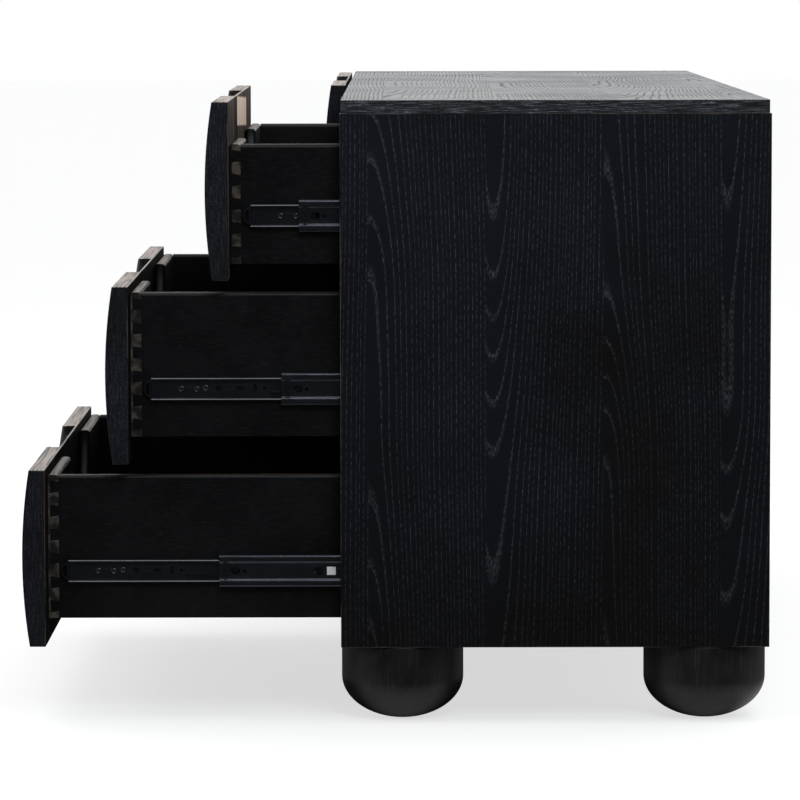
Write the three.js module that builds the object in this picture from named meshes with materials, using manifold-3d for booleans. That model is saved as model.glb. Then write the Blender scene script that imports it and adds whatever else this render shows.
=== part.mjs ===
// Low chest with two columns of three drawers on four round feet.
// Millimetres, +Z up. The front faces -Y. The right column (+X) stands open, the left one is shut.
// Origin: centre of the whole chest's footprint, drawers included, on the floor.

import * as THREE from 'three';
import { mergeVertices } from 'three/addons/utils/BufferGeometryUtils.js';
import Module from 'manifold-3d';

const wasm = await Module();
wasm.setup();

// ---------- Driving dimensions ----------

const chestWidth = 1500;
const chestHeight = 660;
const caseDepth = 453;
const panelThickness = 18;
const topThickness = 14;
const backThickness = 6;
const backInset = 7;
const topFrontInset = 1;
const topRearInset = 2;
const dividerSetback = 12;
const touchGap = 0.3;

const footHeight = 82;
const footRadius = 65;
const footDomeHeight = 44;
const footFlatRadius = 16;
const footSides = 32;
const footDomeSteps = 7;

const frontHeight = 187.8;
const frontPitch = 193.8;
const lowestFrontRise = 1;
const frontEdgeThickness = 17;
const frontBow = 7.5;
const frontSideInset = 1.5;
const closedGap = 4;

const pullWidth = 240;
const pullDepth = 62;
const pullUndercut = 10;
const pullLipThickness = 5;
const pullBackWall = 2;

const boxSetback = 0.4;
const boxFrontThickness = 12;
const boxWall = 12;
const boxDepth = 420;
const boxBottomThickness = 6;
const boxBottomRise = 10;
const boxNotchWidth = 306;
const boxNotchShare = 0.65;
const jointLap = 3;
const tailBaseHeight = 10.5;
const tailTipHeight = 13;

const slideGap = 13;
const slideRise = 51;
const slideWall = 1.3;
const caseRail = { height: 45, front: 3, length: 400, web: touchGap, lip: 10.8 };
const runner = { height: 34.5, length: 350, web: 2.6, lip: 10.4 };
const drawerRail = { height: 23.2, front: 23, length: 370, web: slideGap - touchGap, lip: 5.2 };

// opening: case edge to the back of the drawer front. runnerFront: where the slides' middle members start.
const tiers = [
  { name: 'lower', boxRise: 27, boxHeight: 153, tails: 6, opening: 312.4, runnerFront: -129.3 },
  { name: 'middle', boxRise: 27, boxHeight: 153, tails: 6, opening: 223.3, runnerFront: -62.5 },
  { name: 'upper', boxRise: 16.3, boxHeight: 126.4, tails: 5, opening: 117.4, runnerFront: -43.4 },
];
const closedRunnerFront = 25;

// ---------- Worked-out sizes ----------

const caseHeight = chestHeight - footHeight;
const halfWidth = chestWidth / 2;
const sideHeight = caseHeight - topThickness;
const innerHalf = halfWidth - panelThickness;
const dividerHalf = panelThickness / 2;
const columnSpan = innerHalf - dividerHalf;
const boxWidth = columnSpan - 2 * slideGap;
const boxCentre = dividerHalf + columnSpan / 2;
const frontWidth = halfWidth - 2 * frontSideInset;
const frontCentre = halfWidth / 2;
const boxFrontRear = boxSetback + boxFrontThickness;
const farthestOpening = Math.max(...tiers.map((tier) => tier.opening));
const openReach = farthestOpening + frontEdgeThickness + frontBow;
const caseFront = (openReach - caseDepth) / 2;

// ---------- Materials ----------

const ebonisedAsh = new THREE.MeshStandardMaterial({ color: 0x15171c, roughness: 0.55 });
const satinBlackWood = new THREE.MeshStandardMaterial({ color: 0x0d0d0f, roughness: 0.45 });
const turnedFootWood = new THREE.MeshStandardMaterial({ color: 0x101012, roughness: 0.4 });
const blackSteel = new THREE.MeshStandardMaterial({ color: 0x1b1a20, roughness: 0.35, metalness: 0.9 });

// ---------- Solid helpers ----------

function solidOf(geometry) {
  const bare = geometry.index ? geometry.toNonIndexed() : geometry.clone();
  bare.deleteAttribute('normal');
  bare.deleteAttribute('uv');
  const merged = mergeVertices(bare, 1e-4);
  const vertProperties = new Float32Array(merged.attributes.position.array);
  const triVerts = new Uint32Array(merged.index.array);
  return new wasm.Manifold(new wasm.Mesh({ numProp: 3, vertProperties, triVerts }));
}

function geometryOf(solid) {
  const mesh = solid.getMesh();
  const geometry = new THREE.BufferGeometry();
  geometry.setAttribute('position', new THREE.BufferAttribute(mesh.vertProperties, mesh.numProp));
  geometry.setIndex(new THREE.BufferAttribute(mesh.triVerts, 1));
  geometry.computeVertexNormals();
  return geometry;
}

function cutAway(body, cutters) {
  let solid = solidOf(body);
  for (const cutter of cutters) {
    solid = solid.subtract(solidOf(cutter));
  }
  return geometryOf(solid);
}

function board(x, y, z) {
  const geometry = new THREE.BoxGeometry(x[1] - x[0], y[1] - y[0], z[1] - z[0]);
  return geometry.translate((x[0] + x[1]) / 2, (y[0] + y[1]) / 2, (z[0] + z[1]) / 2);
}

// The outline's two coordinates are Y and Z.
function extrudeAlongX(outline, x, curveSegments = 12) {
  const geometry = new THREE.ExtrudeGeometry(outline, {
    depth: x[1] - x[0],
    bevelEnabled: false,
    curveSegments,
  });
  const turn = new THREE.Matrix4().makeBasis(
    new THREE.Vector3(0, 1, 0),
    new THREE.Vector3(0, 0, 1),
    new THREE.Vector3(1, 0, 0),
  );
  return geometry.applyMatrix4(turn).translate(x[0], 0, 0);
}

// The outline's two coordinates are X and Z.
function extrudeAlongY(outline, y, curveSegments = 24) {
  const geometry = new THREE.ExtrudeGeometry(outline, {
    depth: y[1] - y[0],
    bevelEnabled: false,
    curveSegments,
  });
  return geometry.rotateX(Math.PI / 2).translate(0, y[1], 0);
}

function outlineOf(points) {
  return new THREE.Shape(points.map(([u, v]) => new THREE.Vector2(u, v)));
}

function addPiece(parent, name, geometry, material) {
  const piece = new THREE.Mesh(geometry, material);
  piece.name = name;
  parent.add(piece);
  return piece;
}

// ---------- Case ----------

function footProfile() {
  const fullDome = footDomeHeight / Math.sqrt(1 - (footFlatRadius / footRadius) ** 2);
  const domeTop = -(footHeight - footDomeHeight);
  const points = [new THREE.Vector2(0, -footHeight)];
  const startAngle = Math.acos(footFlatRadius / footRadius);
  for (let step = 0; step <= footDomeSteps; step += 1) {
    const angle = startAngle * (1 - step / footDomeSteps);
    const radius = footRadius * Math.cos(angle);
    points.push(new THREE.Vector2(radius, domeTop - fullDome * Math.sin(angle)));
  }
  points.push(new THREE.Vector2(footRadius, -touchGap));
  points.push(new THREE.Vector2(0, -touchGap));
  return points;
}

function addFeet(parent) {
  const rows = [['front', footRadius], ['rear', caseDepth - footRadius]];
  const sides = [['right', 1], ['left', -1]];
  for (const [row, y] of rows) {
    for (const [side, sign] of sides) {
      const geometry = new THREE.LatheGeometry(footProfile(), footSides).rotateX(Math.PI / 2);
      const foot = addPiece(parent, `foot_${row}_${side}`, geometry, turnedFootWood);
      foot.position.set(sign * (halfWidth - footRadius), y, 0);
    }
  }
}

function addCase(parent) {
  const inside = innerHalf - touchGap;
  const aboveBottom = panelThickness + touchGap;
  const underTop = sideHeight - touchGap;
  const backFront = caseDepth - backInset - backThickness;
  const backRear = caseDepth - backInset;
  const sidePanel = (x) => board(x, [0, caseDepth], [0, underTop]);
  const topDepth = [topFrontInset, caseDepth - topRearInset];
  const dividerDepth = [dividerSetback, backFront - touchGap];
  const pieces = {
    top_panel: board([-halfWidth, halfWidth], topDepth, [sideHeight, caseHeight]),
    right_side_panel: sidePanel([innerHalf, halfWidth]),
    left_side_panel: sidePanel([-halfWidth, -innerHalf]),
    centre_divider: board([-dividerHalf, dividerHalf], dividerDepth, [aboveBottom, underTop]),
    bottom_panel: board([-inside, inside], [dividerSetback / 2, backRear], [0, panelThickness]),
    back_panel: board([-inside, inside], [backFront, backRear], [aboveBottom, underTop]),
  };
  for (const [name, geometry] of Object.entries(pieces)) {
    addPiece(parent, name, geometry, ebonisedAsh);
  }
}

// ---------- Drawer fronts ----------

function bowedOutline() {
  const half = frontHeight / 2;
  const radius = (half ** 2 + frontBow ** 2) / (2 * frontBow);
  const spread = Math.asin(half / radius);
  const outline = new THREE.Shape();
  outline.moveTo(0, 0);
  outline.lineTo(0, frontHeight);
  outline.lineTo(-frontEdgeThickness, frontHeight);
  const centre = radius - frontEdgeThickness - frontBow;
  outline.absarc(centre, half, radius, Math.PI - spread, Math.PI + spread, false);
  return outline;
}

function halfMoon(width, depth, top, centre = 0) {
  const overshoot = 5;
  const half = width / 2;
  const outline = new THREE.Shape();
  outline.moveTo(centre + half, top + overshoot);
  outline.lineTo(centre - half, top + overshoot);
  outline.lineTo(centre - half, top);
  outline.absellipse(centre, top, half, depth, Math.PI, 2 * Math.PI, false);
  return outline;
}

function drawerFront() {
  const blank = extrudeAlongX(bowedOutline(), [-frontWidth / 2, frontWidth / 2]);
  const reach = frontEdgeThickness + frontBow + 1;
  const mouth = halfMoon(pullWidth, pullDepth, frontHeight);
  const groove = halfMoon(pullWidth, pullDepth + pullUndercut, frontHeight);
  const grooveFront = pullLipThickness - frontEdgeThickness;
  return cutAway(blank, [
    extrudeAlongY(mouth, [-reach, -pullBackWall]),
    extrudeAlongY(groove, [grooveFront, -pullBackWall]),
  ]);
}

// ---------- Drawer boxes ----------

// A dovetail outline in Y and Z: narrow where it leaves the side, wide at its tip.
function tailPoints(centre, clearance) {
  const base = tailBaseHeight / 2 + clearance;
  const tip = tailTipHeight / 2 + clearance;
  const tipFace = boxSetback + jointLap - clearance;
  const baseFace = boxFrontRear + touchGap;
  return [
    [baseFace, centre + base],
    [tipFace, centre + tip],
    [tipFace, centre - tip],
    [baseFace, centre - base],
  ];
}

function tailCentres(tier) {
  const pitch = tier.boxHeight / tier.tails;
  return Array.from({ length: tier.tails }, (_, index) => tier.boxHeight - (index + 0.5) * pitch);
}

function boxSide(tier, x) {
  const shoulder = boxFrontRear + touchGap;
  const points = [[boxDepth, 0], [boxDepth, tier.boxHeight], [shoulder, tier.boxHeight]];
  for (const centre of tailCentres(tier)) {
    points.push(...tailPoints(centre, 0));
  }
  points.push([shoulder, 0]);
  return extrudeAlongX(outlineOf(points), x);
}

function boxFront(tier, notchCentre) {
  const half = boxWidth / 2;
  const blank = board([-half, half], [boxSetback, boxFrontRear], [0, tier.boxHeight]);
  const notch = halfMoon(boxNotchWidth, boxNotchShare * tier.boxHeight, tier.boxHeight, notchCentre);
  const cutters = [extrudeAlongY(notch, [boxSetback - 1, boxFrontRear + 1])];
  const socketDepth = boxWall + touchGap;
  for (const centre of tailCentres(tier)) {
    const socket = outlineOf(tailPoints(centre, touchGap));
    cutters.push(extrudeAlongX(socket, [half - socketDepth, half + 1]));
    cutters.push(extrudeAlongX(socket, [-half - 1, socketDepth - half]));
  }
  return cutAway(blank, cutters);
}

function joinedBox(tier, notchCentre) {
  const half = boxWidth / 2;
  const inner = half - boxWall;
  const overshoot = tier.boxHeight + 1;
  const floorTop = boxBottomRise + boxBottomThickness;
  const rear = boxDepth - boxWall;
  const blank = board([-half, half], [boxSetback, boxDepth], [0, tier.boxHeight]);
  const notch = halfMoon(boxNotchWidth, boxNotchShare * tier.boxHeight, tier.boxHeight, notchCentre);
  return cutAway(blank, [
    board([-inner, inner], [boxFrontRear, rear], [floorTop, overshoot]),
    board([-inner, inner], [boxFrontRear, rear], [-1, boxBottomRise]),
    extrudeAlongY(notch, [boxSetback - 1, boxFrontRear + 1]),
  ]);
}

function addBoxBoards(box, prefix, tier, notchCentre) {
  const half = boxWidth / 2;
  const inner = half - boxWall - touchGap;
  const backFace = boxDepth - boxWall;
  const bottomSpan = [boxFrontRear + touchGap, backFace - touchGap];
  const bottomHeights = [boxBottomRise, boxBottomRise + boxBottomThickness];
  const boards = {
    box_front: boxFront(tier, notchCentre),
    side_outer: boxSide(tier, [half - boxWall, half]),
    side_inner: boxSide(tier, [-half, boxWall - half]),
    box_back: board([-inner, inner], [backFace, boxDepth], [boxBottomRise, tier.boxHeight]),
    box_bottom: board([-inner, inner], bottomSpan, bottomHeights),
  };
  for (const [name, geometry] of Object.entries(boards)) {
    addPiece(box, `${prefix}_${name}`, geometry, satinBlackWood);
  }
}

// ---------- Slides ----------

// A channel standing off a wall at x = 0, centred on Z = 0, running along Y.
// facing is +1 or -1: the way along X from the wall to the drawer.
function railGeometry(rail, front, facing) {
  const half = rail.height / 2;
  const webInside = rail.web + Math.sign(rail.lip - rail.web) * slideWall;
  const points = [
    [rail.web, -half],
    [rail.lip, -half],
    [rail.lip, slideWall - half],
    [webInside, slideWall - half],
    [webInside, half - slideWall],
    [rail.lip, half - slideWall],
    [rail.lip, half],
    [rail.web, half],
  ];
  const outline = outlineOf(points.map(([x, z]) => [facing * x, z]));
  return extrudeAlongY(outline, [front, front + rail.length]);
}

// wall is the X of the board that the slide is screwed to.
function addRail(parent, name, rail, front, wall, facing, height) {
  const piece = addPiece(parent, name, railGeometry(rail, front, facing), blackSteel);
  piece.position.set(wall, 0, height);
}

// ---------- Columns ----------

function frontRise(index) {
  return lowestFrontRise + index * frontPitch;
}

// side is +1 for the right column and -1 for the left one.
function addDrawer(parent, prefix, tier, index, side, opening, runnerFront, detailed) {
  const drawer = new THREE.Group();
  drawer.position.set(side * frontCentre, -opening, frontRise(index));
  parent.add(drawer);
  addPiece(drawer, `${prefix}_front`, drawerFront(), ebonisedAsh);

  const boxShift = side * (boxCentre - frontCentre);
  const box = new THREE.Group();
  box.position.set(boxShift, 0, tier.boxRise);
  drawer.add(box);
  if (detailed) {
    addBoxBoards(box, prefix, tier, -boxShift);
  } else {
    addPiece(box, `${prefix}_box`, joinedBox(tier, -boxShift), satinBlackWood);
  }

  const railHeight = tier.boxRise + slideRise;
  const caseRailHeight = frontRise(index) + railHeight;
  const slides = detailed ? ['outer', 'inner'] : ['outer'];
  for (const slide of slides) {
    const wall = side * (slide === 'outer' ? innerHalf : dividerHalf);
    const wallInDrawer = wall - side * frontCentre;
    const facing = slide === 'outer' ? -side : side;
    const railName = (member) => `${prefix}_${member}_${slide}`;
    if (detailed) {
      addRail(parent, railName('case_rail'), caseRail, caseRail.front, wall, facing, caseRailHeight);
    }
    addRail(parent, railName('runner'), runner, runnerFront, wall, facing, caseRailHeight);
    addRail(drawer, railName('drawer_rail'), drawerRail, drawerRail.front, wallInDrawer, facing, railHeight);
  }
}

function addColumns(parent) {
  tiers.forEach((tier, index) => {
    addDrawer(parent, `right_${tier.name}`, tier, index, 1, tier.opening, tier.runnerFront, true);
    addDrawer(parent, `left_${tier.name}`, tier, index, -1, closedGap, closedRunnerFront, false);
  });
}

// ---------- Whole chest ----------

const chest = new THREE.Group();
chest.position.set(0, caseFront, footHeight);
addCase(chest);
addFeet(chest);
addColumns(chest);

const group = new THREE.Group();
group.add(chest);

export default group;
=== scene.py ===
"""A low black chest: two columns of bowed drawers, dovetailed boxes on ball-bearing slides, round feet."""

import math

import bmesh
import bpy
from mathutils import Matrix, Quaternion, Vector


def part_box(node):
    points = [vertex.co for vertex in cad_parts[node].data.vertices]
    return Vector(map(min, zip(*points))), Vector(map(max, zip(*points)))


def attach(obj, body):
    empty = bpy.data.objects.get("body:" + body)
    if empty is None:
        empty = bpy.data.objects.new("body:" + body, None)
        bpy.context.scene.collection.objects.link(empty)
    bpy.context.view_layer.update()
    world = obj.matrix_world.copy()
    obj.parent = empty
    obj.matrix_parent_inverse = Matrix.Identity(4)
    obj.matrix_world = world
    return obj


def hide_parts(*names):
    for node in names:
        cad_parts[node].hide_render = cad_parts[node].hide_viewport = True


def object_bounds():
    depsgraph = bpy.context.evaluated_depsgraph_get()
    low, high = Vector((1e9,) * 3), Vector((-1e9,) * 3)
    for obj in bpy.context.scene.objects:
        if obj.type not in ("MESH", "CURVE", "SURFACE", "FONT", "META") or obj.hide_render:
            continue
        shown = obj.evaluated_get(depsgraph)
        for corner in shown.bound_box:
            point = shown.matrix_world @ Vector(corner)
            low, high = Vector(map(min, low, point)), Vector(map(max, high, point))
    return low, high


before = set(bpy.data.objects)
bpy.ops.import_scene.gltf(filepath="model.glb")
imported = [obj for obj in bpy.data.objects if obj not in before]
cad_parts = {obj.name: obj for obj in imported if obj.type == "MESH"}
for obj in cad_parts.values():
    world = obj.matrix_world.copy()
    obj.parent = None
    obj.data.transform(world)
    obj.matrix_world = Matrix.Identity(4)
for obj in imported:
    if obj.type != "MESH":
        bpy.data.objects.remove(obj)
cad_low, cad_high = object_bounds()

MM = 0.001

# ---------- Driving sizes, in millimetres unless a name says otherwise ----------

CAMERA_STANDOFF = 4975.3
CAMERA_BEHIND_CASE_FRONT = 71.5
CAMERA_HEIGHT = 791.3
CAMERA_PITCH_DEGREES = 5.127
CAMERA_YAW_DEGREES = -0.1
CAMERA_ROLL_DEGREES = -0.11
CAMERA_LENS = 213.5

PANEL_ARRIS = 0.5
FRONT_ARRIS = 0.9
FRONT_EDGE_THICKNESS = 17.0
FRONT_LEAF_DROP = 40.0
PULL_WIDTH = 240.0
PULL_DEPTH = 62.0
PULL_UNDERCUT = 10.0
PULL_LIP = 5.0
PULL_BACK_WALL = 2.0
PULL_RIM_RADIUS = 4.2
PULL_GROOVE_GROWTH = 3.0
PULL_FLOOR_BEVEL = 2.0
# The front whose back gets a warm patch of painted light, with the patch's place from the end and from the
# top.
PAINTED_LIGHT_FRONT = "right_upper"
LIGHT_PATCH_FROM_END = (281.0, 592.0)
LIGHT_PATCH_FROM_TOP = (9.0, 44.0)

BOX_WALL = 12.0
BOX_FRONT_THICKNESS = 12.0
BOX_TOP_ROUNDING = 4.0
BOX_BOTTOM_RISE = 10.0
BOX_BOTTOM_THICKNESS = 6.0
NOTCH_WIDTH = 306.0
NOTCH_SHARE = 0.65
JOINT_LAP = 3.0
BLACK_LAP_SHARE = {"lower": 0.3, "middle": 0.3, "upper": 0.95}
JOINT_CLEARANCE = 0.12
BOARD_GAP = 0.05
TAIL_BASE = 10.5
TAIL_TIP = 13.0
TAIL_PITCH = 25.4

FOOT_DOME = 44.0
FOOT_FLAT_RADIUS = 16.0
FOOT_ARRIS = 1.5
FOOT_DOME_STEPS = 24

RAIL_SHEET = 1.2
WEB_CUT = (-3.0, 16.0)
RUNNER_SLOTS = [
    ((12.5, 22.0), (-4.2, 3.6)), ((25.0, 28.4), (-1.7, 1.7)), ((101.0, 110.0), (-4.4, 4.4)),
    ((113.8, 124.2), (-4.9, 4.9)), ((250.0, 262.0), (-3.0, 3.0)), ((330.0, 338.0), (-2.2, 2.2)),
]
DRAWER_RAIL_SLOTS = [
    ((68.0, 74.0), (-3.0, 3.0)), ((90.0, 98.0), (-1.7, 1.7)), ((108.0, 111.4), (-4.4, 4.4)),
    ((118.0, 121.2), (-1.6, 1.6)), ((210.0, 220.0), (-2.2, 2.2)), ((300.0, 304.4), (-2.2, 2.2)),
]
CASE_RAIL_SLOTS = [((33.0, 37.6), (-2.3, 2.3)), ((60.0, 70.0), (-2.3, 2.3)), ((250.0, 260.0), (-2.3, 2.3))]
SCREW_FACE = 11.5
SCREW_PLACES = [(31.5, 0.4), (48.0, 0.6), (57.5, -0.4), (262.0, 0.0)]
STOP_GAP = 0.1
LEVER_FROM_FRONT = 124.0
PAD_FROM_FRONT = 114.2
CAGE_LENGTH = 96.0
CAGE_FROM_END = 5.0
BALLS_IN_CAGE = 9
INNER_CAGE = (7.6, 13.3)
OUTER_CAGE = (7.2, 18.7)
INNER_BALL = 2.8
OUTER_BALL = 3.0
CASE_RAIL_HALF = [(0.9, 0), (0.9, 19.8), (1.2, 21.0), (2.0, 21.7), (3.2, 21.9), (10.2, 21.9)]
RUNNER_HALF = [
    (5.2, 0), (5.2, 8.0), (4.9, 8.9), (4.1, 9.6), (3.5, 10.2), (3.2, 11.0),
    (3.2, 14.6), (3.5, 15.6), (4.3, 16.3), (5.4, 16.6), (9.8, 16.6),
]
DRAWER_RAIL_HALF = [(12.1, 0), (12.1, 9.2), (11.9, 10.2), (11.2, 10.8), (10.2, 11.0), (5.8, 11.0)]

FLOOR_WHITE = (0.35, 0.35, 0.35, 1)
FLOOR_GLOW = 0.66
# How dark glossy pieces see the floor, a painted shade, and how bright the painted reflection strip near
# the chest glows.
FLOOR_MIRROR_DIMMING = 0.9
FLOOR_NEAR_MIRROR = 1.0

LEAF_WIDTH = 124.0
RING_SPACING = 4.8

SIDES = {"right": 1, "left": -1}
TIERS = ("lower", "middle", "upper")


# ---------- Mesh helpers ----------

def mm(*values):
    return Vector([value * MM for value in values])


def prism(outline, axis, start, end):
    """A closed solid: an outline of pairs in millimetres, pushed along "x", "y" or "z"."""
    places = {
        "x": lambda pair, depth: mm(depth, pair[0], pair[1]),
        "y": lambda pair, depth: mm(pair[0], depth, pair[1]),
        "z": lambda pair, depth: mm(pair[0], pair[1], depth),
    }
    place = places[axis]
    bm = bmesh.new()
    rings = [[bm.verts.new(place(pair, depth)) for pair in outline] for depth in (start, end)]
    close_rings(bm, rings)
    return bm


def close_rings(bm, rings):
    """Joins rings of vertices into a closed skin with a cap at each end."""
    count = len(rings[0])
    for low, high in zip(rings, rings[1:]):
        for index in range(count):
            after = (index + 1) % count
            bm.faces.new((low[index], low[after], high[after], high[index]))
    bm.faces.new(rings[0][::-1])
    bm.faces.new(rings[-1])
    bmesh.ops.recalc_face_normals(bm, faces=bm.faces)


def block(low, high):
    """A box between two corners given in millimetres."""
    outline = [(low[0], low[1]), (high[0], low[1]), (high[0], high[1]), (low[0], high[1])]
    return prism(outline, "z", low[2], high[2])


def lathe(profile, steps):
    """Turns a profile of (radius, height) pairs in millimetres round Z."""
    bm = bmesh.new()
    rings = []
    for radius, height in profile:
        angles = [2 * math.pi * step / steps for step in range(steps)]
        places = [mm(radius * math.cos(a), radius * math.sin(a), height) for a in angles]
        rings.append([bm.verts.new(place) for place in places])
    close_rings(bm, rings)
    return bm


def sharp_edges(bm, least_degrees=25):
    least = math.radians(least_degrees)
    return [e for e in bm.edges if e.is_manifold and e.calc_face_angle() > least]


def round_edges(bm, edges, radius, steps=3):
    bmesh.ops.bevel(
        bm, geom=list(edges), offset=radius * MM, segments=steps, profile=0.5, affect="EDGES"
    )
    return bm


def shift(bm, offset):
    """Moves a mesh by an offset in metres."""
    bmesh.ops.translate(bm, verts=bm.verts, vec=offset)
    return bm


def mesh_of(bm, name):
    mesh = bpy.data.meshes.new(name)
    bm.to_mesh(mesh)
    bm.free()
    return mesh


def joined(parts):
    """One mesh from several that don't touch."""
    whole = bmesh.new()
    for part in parts:
        scrap = mesh_of(part, "scrap")
        whole.from_mesh(scrap)
        bpy.data.meshes.remove(scrap)
    return whole


def carve(bm, cutters):
    """Takes the cutters, which don't touch each other, out of a solid."""
    scene = bpy.context.scene
    body = bpy.data.objects.new("carved", mesh_of(bm, "carved"))
    tool = bpy.data.objects.new("tool", mesh_of(joined(cutters), "tool"))
    scene.collection.objects.link(body)
    scene.collection.objects.link(tool)
    cut = body.modifiers.new("cut", "BOOLEAN")
    cut.operation = "DIFFERENCE"
    cut.solver = "EXACT"
    cut.object = tool
    result = bmesh.new()
    result.from_object(body, bpy.context.evaluated_depsgraph_get())
    for scrap in (body, tool):
        mesh = scrap.data
        bpy.data.objects.remove(scrap)
        bpy.data.meshes.remove(mesh)
    bmesh.ops.remove_doubles(result, verts=result.verts, dist=0.002 * MM)
    bmesh.ops.dissolve_degenerate(result, edges=result.edges, dist=0.002 * MM)
    return result


def smooth(mesh, sharp_degrees=32):
    mesh.shade_smooth()
    mesh.set_sharp_from_angle(angle=math.radians(sharp_degrees))


def add_piece(name, mesh, materials, body, slot, stands_for=(), place=None, turned=False):
    """Adds a piece that rides on a body. turned gives the half turn that faces a slide the other way."""
    piece = bpy.data.objects.new(name, mesh)
    bpy.context.scene.collection.objects.link(piece)
    if not mesh.materials:
        for material in materials:
            mesh.materials.append(material)
        smooth(mesh)
    if place is not None:
        piece.location = place
    if turned:
        piece.rotation_euler = (0, math.pi, 0)
    normals = piece.modifiers.new("even normals", "WEIGHTED_NORMAL")
    normals.keep_sharp = True
    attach(piece, body)
    if stands_for:
        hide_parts(*stands_for)
    return piece


# ---------- Node helpers ----------

class Nodes:
    """Short ways to add nodes to one node tree and join them up."""

    def __init__(self, tree):
        self.tree = tree

    def feed(self, socket, value):
        if isinstance(value, bpy.types.NodeSocket):
            self.tree.links.new(value, socket)
        else:
            socket.default_value = value

    def add(self, kind, inputs=(), **settings):
        node = self.tree.nodes.new(kind)
        for key, value in settings.items():
            setattr(node, key, value)
        for key, value in dict(inputs).items():
            self.feed(node.inputs[key], value)
        return node

    def math(self, operation, first, second=0.0, third=0.0, clamp=False):
        inputs = {0: first, 1: second, 2: third}
        return self.add("ShaderNodeMath", inputs, operation=operation, use_clamp=clamp).outputs[0]

    def plus(self, first, second):
        return self.math("ADD", first, second)

    def minus(self, first, second):
        return self.math("SUBTRACT", first, second)

    def times(self, first, second):
        return self.math("MULTIPLY", first, second)

    def vector_math(self, operation, first, second=(0, 0, 0)):
        node = self.add("ShaderNodeVectorMath", {0: first, 1: second}, operation=operation)
        return node.outputs["Value" if operation == "DOT_PRODUCT" else "Vector"]

    def vector(self, x=0.0, y=0.0, z=0.0):
        return self.add("ShaderNodeCombineXYZ", {0: x, 1: y, 2: z}).outputs[0]

    def split(self, vector):
        return self.add("ShaderNodeSeparateXYZ", {0: vector}).outputs

    def noise(self, place, scale=1.0, detail=2.0, roughness=0.5):
        inputs = {"Vector": place, "Scale": scale, "Detail": detail, "Roughness": roughness}
        return self.add("ShaderNodeTexNoise", inputs).outputs["Fac"]

    def ramp(self, value, low, high, to_low=0.0, to_high=1.0):
        """A smooth step of the value from low to high."""
        inputs = {"Value": value, 1: low, 2: high, 3: to_low, 4: to_high}
        node = self.add("ShaderNodeMapRange", inputs, interpolation_type="SMOOTHSTEP")
        return node.outputs[0]

    def mix_value(self, share, first, second):
        inputs = {"Factor": share, 2: first, 3: second}
        return self.add("ShaderNodeMix", inputs, data_type="FLOAT").outputs[0]

    def mix_colour(self, share, first, second):
        inputs = {"Factor": share, 6: first, 7: second}
        return self.add("ShaderNodeMix", inputs, data_type="RGBA").outputs[2]

    def place(self):
        return self.add("ShaderNodeTexCoord").outputs["Object"]

    def facing(self):
        return self.add("ShaderNodeTexCoord").outputs["Normal"]

    def group(self, tree, inputs):
        node = self.add("ShaderNodeGroup")
        node.node_tree = tree
        for key, value in inputs.items():
            self.feed(node.inputs[key], value)
        return node.outputs


def new_group(name, inputs, outputs):
    """A shader node group with named sockets. Each is a name with "Float", "Vector" or "Color"."""
    tree = bpy.data.node_groups.new(name, "ShaderNodeTree")
    for label, kind in inputs:
        tree.interface.new_socket(label, in_out="INPUT", socket_type="NodeSocket" + kind)
    for label, kind in outputs:
        tree.interface.new_socket(label, in_out="OUTPUT", socket_type="NodeSocket" + kind)
    nodes = Nodes(tree)
    return nodes, nodes.add("NodeGroupInput").outputs, nodes.add("NodeGroupOutput").inputs


def new_material(name, **constants):
    """A material with one Principled shader, whose constant sockets are set here."""
    material = bpy.data.materials.new(name)
    material.use_nodes = True
    nodes = Nodes(material.node_tree)
    shader = material.node_tree.nodes["Principled BSDF"]
    for label, value in constants.items():
        shader.inputs[label.replace("_", " ")].default_value = value
    return material, nodes, shader


def add_bump(nodes, shader, height, distance, strength=1.0):
    inputs = {"Height": height, "Distance": distance * MM, "Strength": strength}
    nodes.feed(shader.inputs["Normal"], nodes.add("ShaderNodeBump", inputs).outputs["Normal"])


def set_finish(nodes, shader, colour, mask, spread, least):
    """Gives a shader its colour, and a roughness that rises with the mask from the least value."""
    nodes.feed(shader.inputs["Base Color"], colour)
    nodes.feed(shader.inputs["Roughness"], nodes.math("MULTIPLY_ADD", mask, spread, least))


# ---------- Effects that several materials share ----------

def make_veneer_place():
    """Where a point lies along and across the grain on each face of a veneered board and its edge bands."""
    inputs = [("Place", "Vector"), ("Facing", "Vector")]
    inputs += [("Grain", "Vector"), ("Breadth", "Vector"), ("Thickness", "Vector")]
    outputs = [("Along", "Float"), ("Across", "Float"), ("Broad Face", "Float")]
    nodes, given, result = new_group("veneer place", inputs, outputs)

    def share(axis):
        return nodes.vector_math("DOT_PRODUCT", given["Place"], given[axis])

    def faces(axis):
        turn = nodes.math("ABSOLUTE", nodes.vector_math("DOT_PRODUCT", given["Facing"], given[axis]))
        return nodes.math("GREATER_THAN", turn, 0.7)

    broad = faces("Thickness")
    nodes.feed(result["Along"], nodes.mix_value(faces("Grain"), share("Grain"), share("Breadth")))
    nodes.feed(result["Across"], nodes.mix_value(broad, share("Thickness"), share("Breadth")))
    nodes.feed(result["Broad Face"], broad)
    return nodes.tree


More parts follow.
